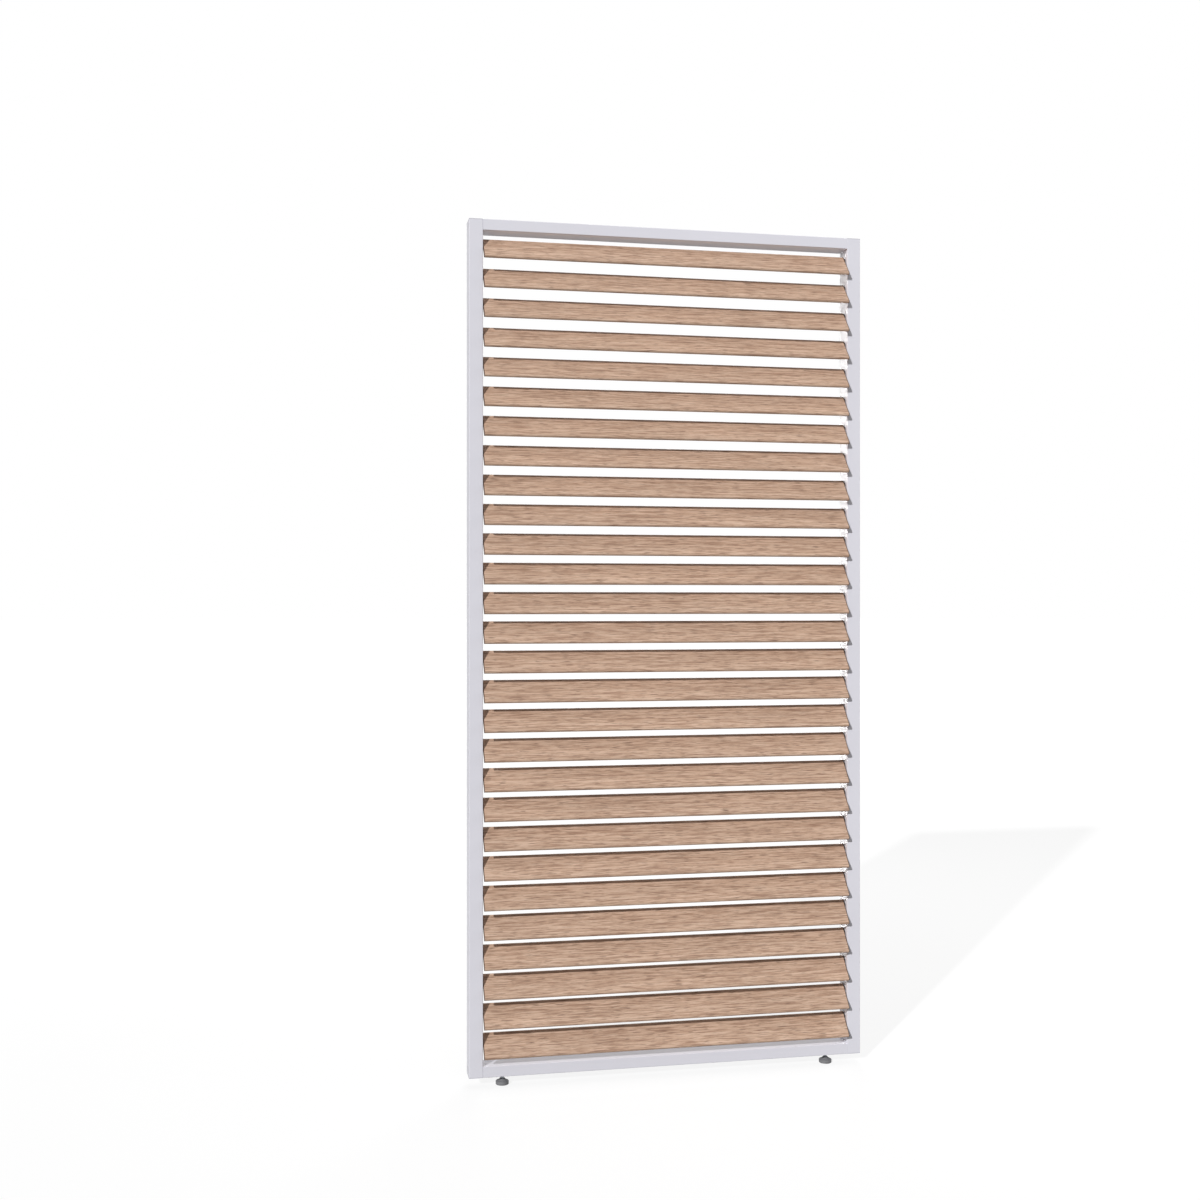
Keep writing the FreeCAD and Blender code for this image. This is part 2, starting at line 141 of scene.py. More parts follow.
class SlatSizes(bpy.types.PropertyGroup):
    """Section of a slat and the parts of its end caps."""
    width: length("Width", "Slat, edge to edge", 70.0)
    thickness: length("Thickness", "Slat, face to face", 8.4)
    axis_inset: length("Axis inset", "Top edge of a slat to the axis it turns on", 15.4)
    tilt: FloatProperty(name="Tilt", description="From upright, at rest, lower edge to the front",
                        default=math.radians(42.0), subtype="ANGLE", unit="ROTATION")
    end_plate: length("End plate", "Plate of an end cap", 1.5)
    end_gap: length("End gap", "Stile to end cap, with the flange of the bush", 1.2)
    pivot_radius: length("Pivot radius", "Pivot pin of an end cap", 3.0)
    pivot_reach: length("Pivot reach", "Pivot pin inside the stile", 8.0)
    crank_reach: length("Crank reach", "Slat axis to crank pin", 16.0)
    crank_radius: length("Crank pin radius", "Crank pin of a left end cap", 2.5)
    crank_rim: length("Crank rim", "Crank arm round its pin", 1.7)
    crank_depth: length("Crank depth", "Crank pin inside the left stile", 13.5)
    edge_break: length("Edge break", "Chamfer on cut and moulded ends", 0.3)
    ring_points: IntProperty(name="Ring points", description="Points round the slat section",
                             default=48, min=16, max=128)


class FootSizes(bpy.types.PropertyGroup):
    """Pad, stud and lock nut of a levelling foot."""
    pad_radius: length("Pad radius", "Foot pad", 16.0)
    pad_rim: length("Pad rim", "Height of a foot pad's rim", 8.5)
    rim_round: length("Rim round", "Radius on both edges of the rim", 1.19)
    lip_break: length("Lip break", "Chamfer on top of the neck", 0.714)
    pad_height: length("Pad height", "Foot pad with its neck", 15.0)
    neck_radius: length("Neck radius", "Top of a foot pad's neck", 6.5)
    stud_radius: length("Stud radius", "Thread of the stud, over its crests", 4.0)
    thread_pitch: length("Thread pitch", "Crest to crest along the stud", 1.25)
    thread_depth: length("Thread depth", "Crest to root of the thread", 0.7)
    nut_radius: length("Nut radius", "Lock nut, middle to corner", 7.5)
    nut_chamfer: length("Nut chamfer", "Height of the bevel on the nut's corners", 0.7)
    nut_play: length("Nut play", "Bore of the nut past the stud", 0.05)
    ring_points: IntProperty(name="Ring points", description="Points round a foot pad",
                             default=48, min=24, max=96)


class FinishColours(bpy.types.PropertyGroup):
    """Colours of the materials."""
    coat: colour("Frame coat", "Powder coat on the tubes", "#E2E1E9")
    oak_light: colour("Oak, light", "Early wood between the grain lines", "#D0B39D")
    oak_mid: colour("Oak, middle", "Ground tone of the wood decor", "#BE9E87")
    oak_dark: colour("Oak, dark", "Late wood in the grain lines", "#9D7D68")
    oak_pore: colour("Oak, pores", "Short dark pore strokes", "#7D6251")
    # Slat end caps: brown plastic, set darker as painted shade for the left stile's shadow on the
    # slat ends
    end_cap: colour("Slat end caps", "Moulded brown plastic", "#5E4637")
    stile_cap: colour("Stile caps", "Moulded grey plastic", "#CFCED6")
    nylon: colour("Bushes", "Moulded nylon", "#3A3A3C")
    cast: colour("Corner blocks", "Die-cast zinc", "#A9ABAD")
    mill: colour("Link bar", "Rolled aluminium", "#C9CACC")
    zinc: colour("Screws and nuts", "Zinc plate", "#B9BCC1")
    pad: colour("Foot pads", "Glass-filled polyamide", "#838386")
    floor: colour("Floor", "Matt studio floor", "#818181")


class StageSettings(bpy.types.PropertyGroup):
    """Camera and lights."""
    eye: FloatVectorProperty(name="Camera", description="Where the camera stands", size=3,
                             default=(-0.850, -3.398, 1.1763), subtype="TRANSLATION", unit="LENGTH")
    yaw: FloatProperty(name="Camera turn", description="Camera turned from +Y towards +X",
                       default=math.radians(11.26), subtype="ANGLE", unit="ROTATION")
    lens: FloatProperty(name="Lens", description="Focal length in millimetres", default=42.0,
                        subtype="DISTANCE_CAMERA", unit="CAMERA")
    rise: FloatProperty(name="Shift", description="Camera shift upwards, as a share of the frame",
                        default=0.0023, precision=4)
    key_strength: FloatProperty(name="Key light", description="Strength of the sun lamp",
                                default=2.78)
    key_travel: FloatVectorProperty(name="Key direction", description="Way the key light travels",
                                    size=3, default=(0.80, 1.0, -0.64), subtype="DIRECTION")
    key_angle: FloatProperty(name="Key size", description="Angle that the key light fills",
                             default=math.radians(1.5), subtype="ANGLE", unit="ROTATION")
    right_power: power("Right softbox", 22.0)
    top_power: power("Top softbox", 12.0)
    back_power: power("Back softbox", 45.0)
    strip_power: power("Strip light", 36.0)
    ambient: FloatProperty(name="Ambient", description="Even light from all round", default=0.24)
    near_lift: FloatProperty(name="Floor, near", description="White added near the object",
                             default=0.81)
    far_lift: FloatProperty(name="Floor, far", description="White added far off", default=0.91)


def add(tree, kind, **settings):
    """Add a node with its settings and links.

    A setting is a property, a value for an input, or an output that is linked to the input. An
    input is named with underscores for spaces, or as i and its number where names repeat.
    """
    node = tree.nodes.new(kind)
    for key, value in settings.items():
        if hasattr(node, key) and key not in node.inputs:
            setattr(node, key, value)
            continue
        socket = node.inputs[int(key[1:]) if key[1:].isdigit() else key.replace("_", " ")]
        if isinstance(value, bpy.types.NodeSocket):
            tree.links.new(value, socket)
        else:
            socket.default_value = value
    return node


def new_material(name):
    """A new node material; returns it with its tree and its Principled shader."""
    material = bpy.data.materials.new(name)
    material.use_nodes = True
    tree = material.node_tree
    return material, tree, tree.nodes["Principled BSDF"]


def dimmed(value, share):
    """A colour with its channels scaled by a share, alpha kept."""
    return (*(channel * share for channel in value[:3]), 1.0)


def cell(millimetres):
    """Texture scale whose noise cells have a real size."""
    return 1.0 / (millimetres * MM)


def mottled(name, base, spread, patch_mm, grit_mm, depth_mm, rough, metallic=0.0):
    """A plain finish with faint patches in its colour and a fine grit in its gloss and its surface.

    Colour runs from the base dimmed by the spread up to the base, in patches of one size; roughness
    and height follow a second noise of the grit's size.
    """
    material, tree, shader = new_material(name)
    place = add(tree, "ShaderNodeTexCoord").outputs["Object"]
    patches = add(tree, "ShaderNodeTexNoise", Vector=place, Scale=cell(patch_mm), Detail=3.0)
    share = add(tree, "ShaderNodeMapRange", Value=patches.outputs["Fac"], From_Min=0.32,
                From_Max=0.68)
    tone = add(tree, "ShaderNodeMix", data_type="RGBA", i0=share.outputs["Result"],
               i6=dimmed(base, 1.0 - spread), i7=base)
    grit = add(tree, "ShaderNodeTexNoise", Vector=place, Scale=cell(grit_mm), Detail=2.0)
    gloss = add(tree, "ShaderNodeMapRange", Value=grit.outputs["Fac"], To_Min=rough[0],
                To_Max=rough[1])
    relief = add(tree, "ShaderNodeBump", Height=grit.outputs["Fac"], Distance=depth_mm * MM,
                 Strength=0.5)
    tree.links.new(tone.outputs[2], shader.inputs["Base Color"])
    tree.links.new(gloss.outputs["Result"], shader.inputs["Roughness"])
    tree.links.new(relief.outputs["Normal"], shader.inputs["Normal"])
    shader.inputs["Metallic"].default_value = metallic
    return material


def oak_decor_film(colours):
    """Wood decor on extruded aluminium: an oak print, sublimated into a matt clear powder coat.

    The print reads as long grain lines along the slat with short dark pores, on a ground that
    drifts in tone; the clear coat is matt and follows the pores with a slight emboss.
    """
    material, tree, shader = new_material("oak_decor_on_aluminium")
    along = add(tree, "ShaderNodeTexCoord").outputs["UV"]

    # Grain lines are under a millimetre apart on real oak; drawn 3 to 7 mm apart so that they show
    grain_run = add(tree, "ShaderNodeMapping", Vector=along, Scale=(cell(64.0), cell(3.4), 1.0))
    fine = add(tree, "ShaderNodeTexNoise", Vector=grain_run.outputs["Vector"], Scale=1.0,
               Detail=4.0, Roughness=0.72, Distortion=0.45)
    line_run = add(tree, "ShaderNodeMapping", Vector=along, Scale=(cell(240.0), cell(7.0), 1.0))
    lines = add(tree, "ShaderNodeTexNoise", Vector=line_run.outputs["Vector"], Scale=1.0,
                Detail=3.0, Roughness=0.6, Distortion=0.6)
    grain = add(tree, "ShaderNodeMix", i0=0.3, i2=fine.outputs["Fac"], i3=lines.outputs["Fac"])
    late = add(tree, "ShaderNodeMapRange", Value=grain.outputs[0], From_Min=0.40, From_Max=0.49)
    early = add(tree, "ShaderNodeMapRange", Value=grain.outputs[0], From_Min=0.49, From_Max=0.58)
    dark = add(tree, "ShaderNodeMix", data_type="RGBA", i0=late.outputs["Result"],
               i6=colours.oak_dark, i7=colours.oak_mid)
    wood = add(tree, "ShaderNodeMix", data_type="RGBA", i0=early.outputs["Result"],
               i6=dark.outputs[2], i7=colours.oak_light)
    # Boards change tone over a hand's width
    drift_run = add(tree, "ShaderNodeMapping", Vector=along, Scale=(cell(300.0), cell(40.0), 1.0))
    drift = add(tree, "ShaderNodeTexNoise", Vector=drift_run.outputs["Vector"], Scale=1.0,
                Detail=2.0)
    shade = add(tree, "ShaderNodeMapRange", Value=drift.outputs["Fac"], From_Min=0.3, From_Max=0.7,
                To_Min=0.93, To_Max=1.05)
    toned = add(tree, "ShaderNodeVectorMath", operation="SCALE", i0=wood.outputs[2])
    tree.links.new(shade.outputs["Result"], toned.inputs["Scale"])
    # Pores are strokes of a few centimetres, drawn about 2 mm wide so that they show
    pore_run = add(tree, "ShaderNodeMapping", Vector=along, Scale=(cell(34.0), cell(2.0), 1.0))
    pores = add(tree, "ShaderNodeTexNoise", Vector=pore_run.outputs["Vector"], Scale=1.0,
                Detail=2.0, Roughness=0.5, Distortion=0.3)
    pore_mask = add(tree, "ShaderNodeMapRange", Value=pores.outputs["Fac"], From_Min=0.56,
                    From_Max=0.66, To_Min=0.0, To_Max=0.85)
    print_colour = add(tree, "ShaderNodeMix", data_type="RGBA", i0=pore_mask.outputs["Result"],
                       i6=toned.outputs["Vector"], i7=colours.oak_pore)
    gloss = add(tree, "ShaderNodeMapRange", Value=grain.outputs[0], To_Min=0.62, To_Max=0.48)
    emboss = add(tree, "ShaderNodeBump", Height=pore_mask.outputs["Result"], Distance=0.12 * MM,
                 Strength=0.5, invert=True)
    tree.links.new(print_colour.outputs[2], shader.inputs["Base Color"])
    tree.links.new(gloss.outputs["Result"], shader.inputs["Roughness"])
    tree.links.new(emboss.outputs["Normal"], shader.inputs["Normal"])
    return material


def ring_quads(rings, points, closed):
    """Vertex numbers of the quads between rings of points; closed joins the last to the first."""
    last = rings if closed else rings - 1
    row, column = np.meshgrid(np.arange(last), np.arange(points), indexing="ij")
    beside = (column + 1) % points
    above = (row + 1) % rings
    here, there = row * points, above * points
    corners = (here + column, here + beside, there + beside, there + column)
    return np.stack([corner.ravel() for corner in corners], axis=1)


def fan(faces):
    """Triangles of faces with one corner count: the first corner of each with every later pair."""
    first = np.repeat(faces[:, :1], faces.shape[1] - 2, axis=1)
    return np.stack([first, faces[:, 1:-1], faces[:, 2:]], axis=2).reshape(-1, 3)


def shell(grid, closed=False):
    """Points, corner numbers and face sizes of the surface over a grid of rings, faces outwards.

    Quads join each ring to the next. An open row of rings ends in one flat face at each end. The
    sign of the volume, a sixth of the summed triple products of its triangles, says which way the
    faces point.
    """
    rings, points = grid.shape[:2]
    flat = grid.reshape(-1, 3)
    quads = ring_quads(rings, points, closed)
    ring = np.arange(points)
    ends = np.stack([ring[::-1], ring + (rings - 1) * points])[:0 if closed else 2]
    triangles = np.concatenate([fan(quads), fan(ends)])
    a, b, c = np.moveaxis((flat - flat.mean(axis=0))[triangles], 1, 0)
    if np.einsum("ij,ij->", a, np.cross(b, c)) < 0.0:
        quads, ends = quads[:, ::-1], ends[:, ::-1]
    sizes = np.repeat([4, points], [len(quads), len(ends)])
    return flat, np.concatenate([quads.ravel(), ends.ravel()]), sizes


def join(shells):
    """One shell from several: points in a row, corner numbers moved on by the points before."""
    points, corners, sizes = zip(*shells)
    starts = np.cumsum([0] + [len(some) for some in points[:-1]])
    moved = [some + start for some, start in zip(corners, starts)]
    return np.concatenate(points), np.concatenate(moved), np.concatenate(sizes)


def new_mesh(name, surface, material):
    """A mesh from points, corner numbers and face sizes, with one material."""
    points, corners, sizes = surface
    mesh = bpy.data.meshes.new(name)
    mesh.vertices.add(len(points))
    mesh.vertices.foreach_set("co", points.ravel())
    mesh.loops.add(len(corners))
    mesh.loops.foreach_set("vertex_index", corners)
    mesh.polygons.add(len(sizes))
    mesh.polygons.foreach_set("loop_start", np.cumsum(sizes) - sizes)
    mesh.update(calc_edges=True)
    mesh.materials.append(material)
    return mesh


def put_piece(name, surface, material, body, replaced=(), uv=None, sharp_deg=35.0):
    """Make a mesh object at the origin, smooth but for sharp edges, and tie it to its body."""
    mesh = new_mesh(name, surface, material)
    mesh.polygons.foreach_set("use_smooth", np.ones(len(mesh.polygons), bool))
    mesh.set_sharp_from_angle(angle=math.radians(sharp_deg))
    if uv is not None:
        mesh.uv_layers.new(name="slat_run").data.foreach_set("uv", uv.ravel())
    if mesh.validate():
        raise RuntimeError("the mesh of %s needed repair" % name)
    piece = bpy.data.objects.new(name, mesh)
    bpy.context.scene.collection.objects.link(piece)
    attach(piece, body)
    if replaced:
        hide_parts(*replaced)
    return piece


def stadium(radius, straight, points):
    """Section with half-round ends, as (across, along) pairs.

    A circle is pulled apart along its height by half the straight length, up above the middle and
    down below.
    """
    turn = math.pi / 2 + (np.arange(points) + 0.5) * 2 * math.pi / points
    along = radius * np.sin(turn) + 0.5 * straight * np.sign(np.sin(turn))
    return np.stack([radius * np.cos(turn), along], axis=1)


def bar(stations, straight, points, tilt, centre, pivot):
    """Rings of a bar along X with a stadium section, from pairs of x and section radius.

    The section leans by the tilt about an axis along X; centre is its middle along the lean.
    """
    up = np.array([0.0, math.sin(tilt), math.cos(tilt)])
    front = np.array([0.0, -math.cos(tilt), math.sin(tilt)])
    rings = []
    for x, radius in stations:
        section = stadium(radius, straight, points)
        ring = section[:, :1] * front + (section[:, 1:] + centre) * up
        rings.append(ring + np.array([x, pivot[0], pivot[1]]))
    return np.stack(rings)


def broken_ends(low, high, radius, edge):
    """Stations of a bar whose two ends are chamfered: narrower by the edge at each end."""
    narrow = radius - edge
    return (low, narrow), (low + edge, radius), (high - edge, radius), (high, narrow)


def slat_section(sizes):
    """Radius, straight length and middle of a slat's section."""
    radius = sizes.thickness / 2
    return radius, sizes.width - sizes.thickness, sizes.axis_inset - sizes.width / 2


class SCREEN_OT_blades(bpy.types.Operator):
    """Build the blade of every slat with its wood decor"""
    bl_idname = "slatted_screen.blades"
    bl_label = "Slat Blades"

    def execute(self, context):
        sizes = context.scene.screen_slats
        material = oak_decor_film(context.scene.screen_colours)
        radius, straight, centre = slat_section(sizes)
        half = OPENING_HALF - sizes.end_gap - sizes.end_plate
        count = sizes.ring_points
        section = stadium(radius, straight, count)
        steps = np.linalg.norm(np.roll(section, -1, axis=0) - section, axis=1)
        around = np.concatenate([[0.0], np.cumsum(steps)])
        for number, body in enumerate(SLATS):
            stations = broken_ends(-half, half, radius, sizes.edge_break)
            pivot = (0.0, AXIS_HEIGHT[body])
            surface = shell(bar(stations, straight, count, sizes.tilt, centre, pivot))
            run = self.slat_run(surface, around) + PRINT_STEP * number
            put_piece(body + "_blade", surface, material, body, (body,), run)
        return {"FINISHED"}

    def slat_run(self, surface, around):
        """UV in metres for each corner: along the slat, and round its section from the top edge.

        The quads that close the section take the whole way round at their far side, where the count
        starts again at nothing.
        """
        points, corners, sizes = surface
        count = len(around) - 1
        column = corners % count
        face = np.repeat(np.arange(len(sizes)), sizes)
        closing = np.zeros(len(sizes), bool)
        np.logical_or.at(closing, face, column == count - 1)
        closing &= sizes == 4
        across = np.where((column == 0) & closing[face], around[count], around[column])
        return np.stack([points[corners, 0], across], axis=1)


class SCREEN_OT_end_caps(bpy.types.Operator):
    """Build the end caps of every slat, with pivot pins and cranks"""
    bl_idname = "slatted_screen.end_caps"
    bl_label = "Slat End Caps"

    def execute(self, context):
        sizes = context.scene.screen_slats
        # ABS, moulded with a fine spark texture: matt brown, a little lighter on worn high spots;
        # the brown is set darker than the plastic as painted shade, standing in for the left
        # stile's shadow on the slats' left ends
        material = mottled("moulded_brown_abs", context.scene.screen_colours.end_cap, spread=0.12,
                           patch_mm=30.0, grit_mm=2.5, depth_mm=0.05, rough=(0.46, 0.58))
        for body in SLATS:
            for side, sign in (("left", -1.0), ("right", 1.0)):
                shells = self.cap(sizes, sign, AXIS_HEIGHT[body])
                put_piece("%s_%s_cap" % (body, side), join(shells), material, body)
        return {"FINISHED"}

    def cap(self, sizes, sign, height):
        """Shells of one end cap: plate and pivot pin, and at the left a crank arm and its pin."""
        radius, straight, centre = slat_section(sizes)
        edge, count, reach = sizes.edge_break, sizes.ring_points, sizes.crank_reach
        outer = OPENING_HALF - sizes.end_gap
        ends = sorted((sign * (outer - sizes.end_plate), sign * outer))
        pin_ends = sorted((sign * (outer - edge), sign * (OPENING_HALF + sizes.pivot_reach)))
        pivot = (0.0, height)
        plate = broken_ends(*ends, radius, edge)
        shells = [shell(bar(plate, straight, count, sizes.tilt, centre, pivot)),
                  self.pin(sizes, pin_ends, sizes.pivot_radius, pivot)]
        if sign < 0.0:
            arm = broken_ends(*ends, sizes.crank_radius + sizes.crank_rim, edge)
            crank_ends = (-OPENING_HALF - sizes.crank_depth, -outer + edge)
            shells += [shell(bar(arm, reach, count, math.pi / 2, reach / 2, pivot)),
                       self.pin(sizes, crank_ends, sizes.crank_radius, (reach, height))]
        return shells

    def pin(self, sizes, ends, radius, middle):
        """Shell of a round pin along X, with half the points of a slat's section."""
        stations = broken_ends(*ends, radius, sizes.edge_break)
        return shell(bar(stations, 0.0, sizes.ring_points // 2, 0.0, 0.0, middle))


def turned(radii, heights, middle):
    """Rings of a body turned about an upright line: radii per row and angle, heights per row."""
    angle = np.arange(radii.shape[1]) * 2 * math.pi / radii.shape[1]
    rise = np.broadcast_to(heights[:, None], radii.shape)
    across, along = radii * np.cos(angle), radii * np.sin(angle)
    return np.stack([middle[0] + across, middle[1] + along, rise], axis=2)


def foot_middle(body):
    """X and Y of the middle of a foot, from the box of its stud."""
    low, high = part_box(body + "_stud")
    return ((low.x + high.x) / 2, (low.y + high.y) / 2)


class SCREEN_OT_foot_pads(bpy.types.Operator):
    """Build the pads of the levelling feet"""
    bl_idname = "slatted_screen.foot_pads"
    bl_label = "Foot Pads"

    def execute(self, context):
        sizes = context.scene.screen_feet
        # Glass-filled polyamide, moulded: dark grey, matt, with a slight cloudiness from the fibres
        material = mottled("moulded_glass_filled_polyamide", context.scene.screen_colours.pad,
                           spread=0.22, patch_mm=9.0, grit_mm=1.5, depth_mm=0.05,
                           rough=(0.44, 0.60))
        for body in FEET:
            surface = shell(self.pad(sizes, foot_middle(body)))
            put_piece(body + "_pad_moulding", surface, material, body,
                      (body + "_pad",))
        return {"FINISHED"}

    def pad(self, sizes, middle):
        """Turned pad: a rim with quarter rounds, then a neck that narrows up to a chamfered lip.

        The neck's radius falls from the rim's to its own with a power of the height that is left.
        """
        rim, edge, lip = sizes.pad_rim, sizes.rim_round, sizes.lip_break
        quarter = np.linspace(0.0, math.pi / 2, ROUND_STEPS)
        low_r = sizes.pad_radius - edge * (1.0 - np.sin(quarter))
        low_z = edge * (1.0 - np.cos(quarter))
        top_r = sizes.pad_radius - edge * (1.0 - np.cos(quarter))
        top_z = rim - edge * (1.0 - np.sin(quarter))
        climb = np.linspace(0.0, 1.0, NECK_STEPS)[1:]
        shoulder = sizes.pad_radius - edge
        neck_r = sizes.neck_radius + (shoulder - sizes.neck_radius) * (1.0 - climb) ** NECK_POWER
        neck_z = rim + (sizes.pad_height - lip - rim) * climb
        lip_r = np.array([sizes.neck_radius - lip, sizes.stud_radius])
        lip_z = np.array([sizes.pad_height, sizes.pad_height])
        profile_r = np.concatenate([low_r, top_r, neck_r, lip_r])
        profile_z = np.concatenate([low_z, top_z, neck_z, lip_z])
        return turned(np.repeat(profile_r[:, None], sizes.ring_points, axis=1), profile_z, middle)


class SCREEN_OT_studs(bpy.types.Operator):
    """Build the threaded studs and lock nuts of the feet"""
    bl_idname = "slatted_screen.studs"
    bl_label = "Studs and Lock Nuts"

    def execute(self, context):
        sizes = context.scene.screen_feet
        material = zinc_plate(context.scene.screen_colours)
        for body in FEET:
            middle = foot_middle(body)
            low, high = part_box(body + "_stud")
            surface = shell(self.stud(sizes, middle, low.z, high.z))
            put_piece(body + "_stud_thread", surface, material, body,
                      (body + "_stud",), sharp_deg=THREAD_SHARP_DEG)
            low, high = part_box(body + "_lock_nut")
            surface = shell(self.nut(sizes, middle, low.z, high.z), closed=True)
            carrier = body_of(frame["nodes"][body + "_lock_nut"])[0]
            put_piece(body + "_lock_nut_hex", surface, material, carrier,
                      (body + "_lock_nut",))
        return {"FINISHED"}

    def stud(self, sizes, middle, low, high):
        """Turned stud: the radius dips from the crest by a raised cosine of height less turn.

        The height counts in pitches. Over the first and last pitch the crest falls to the root of
        the thread.
        """
        rows = int((high - low) / sizes.thread_pitch * PITCH_ROWS)
        height = np.linspace(low, high, rows + 1)
        angle = np.arange(STUD_POINTS) * 2 * math.pi / STUD_POINTS
        phase = 2 * math.pi * height[:, None] / sizes.thread_pitch - angle[None, :]
        radius = sizes.stud_radius - sizes.thread_depth * 0.5 * (1.0 - np.cos(phase))
        lead = np.minimum(height - low, high - height)[:, None] / sizes.thread_pitch
        blunt = sizes.stud_radius - sizes.thread_depth * np.clip(1.0 - lead, 0.0, 1.0)
        return turned(np.minimum(radius, blunt), height, middle)

    def nut(self, sizes, middle, low, high):
        """Ring of a hexagon, cut by a cone at both ends.

        Its radius is the distance of a flat over the cosine of the turn from that flat.
        """
        angle = np.arange(NUT_POINTS) * 2 * math.pi / NUT_POINTS
        flat = sizes.nut_radius * math.cos(math.pi / 6)
        hexagon = flat / np.cos(angle % (math.pi / 3) - math.pi / 6)
        bevelled = np.minimum(hexagon, flat * NUT_FACE)
        bore = np.full(NUT_POINTS, sizes.stud_radius + sizes.nut_play)
        step = sizes.nut_chamfer
        radii = np.stack([bore, bevelled, hexagon, hexagon, bevelled, bore])
        heights = np.array([low, low, low + step, high - step, high, high])
        return turned(radii, heights, middle)


def zinc_plate(colours):
    """Zinc-plated steel: bright, slightly blue metal with a soft and cloudy gloss."""
    made = bpy.data.materials.get("zinc_plated_steel")
    return made or mottled("zinc_plated_steel", colours.zinc, spread=0.18, patch_mm=6.0,
                           grit_mm=1.2, depth_mm=0.02, rough=(0.26, 0.40), metallic=1.0)


class SCREEN_OT_frame(bpy.types.Operator):
    """Give the frame and the parts inside it their finishes"""
    bl_idname = "slatted_screen.frame"
    bl_label = "Frame Finishes"

    def execute(self, context):
        colours = context.scene.screen_colours
        # Polyester powder coat on extruded aluminium: satin, with an orange peel of 1 to 2 mm that
        # is drawn as 5 mm so that it shows
        coat = mottled("powder_coated_aluminium", colours.coat, spread=0.03, patch_mm=240.0,
                       grit_mm=5.0, depth_mm=0.03, rough=(0.40, 0.52))
        # ABS in the frame's colour, moulded: a shade more matt than the coat beside it
        grey = mottled("moulded_grey_abs", colours.stile_cap, spread=0.05, patch_mm=14.0,
                       grit_mm=2.0, depth_mm=0.05, rough=(0.48, 0.60))
        # Nylon, moulded: dark and faintly waxy
        nylon = mottled("moulded_nylon", colours.nylon, spread=0.15, patch_mm=6.0, grit_mm=1.5,
                        depth_mm=0.03, rough=(0.34, 0.46))
        # Zinc, die-cast: dull grey metal with flow marks
        cast = mottled("die_cast_zinc", colours.cast, spread=0.20, patch_mm=10.0, grit_mm=1.0,
                       depth_mm=0.08, rough=(0.46, 0.62), metallic=1.0)
        # Aluminium, rolled: bright, soft gloss
        mill = mottled("rolled_aluminium", colours.mill, spread=0.10, patch_mm=40.0, grit_mm=1.2,
                       depth_mm=0.02, rough=(0.32, 0.44), metallic=1.0)
        zinc = zinc_plate(colours)
        finishes = {
            coat: ("left_stile", "right_stile", "top_rail", "bottom_rail"),
            grey: ("stile_cap", "screw_hole_plugs"),
            nylon: ("pivot_bushes",),
            cast: ("corner_block",),
            mill: ("link_bar",),
            zinc: ("frame_screws", "foot_insert"),
        }
        for material, endings in finishes.items():
            for name, node in frame["nodes"].items():
                if not name.endswith(endings):
                    continue
                if not node.material_slots:
                    node.data.materials.append(material)
                for slot in node.material_slots:
                    slot.material = material
        return {"FINISHED"}


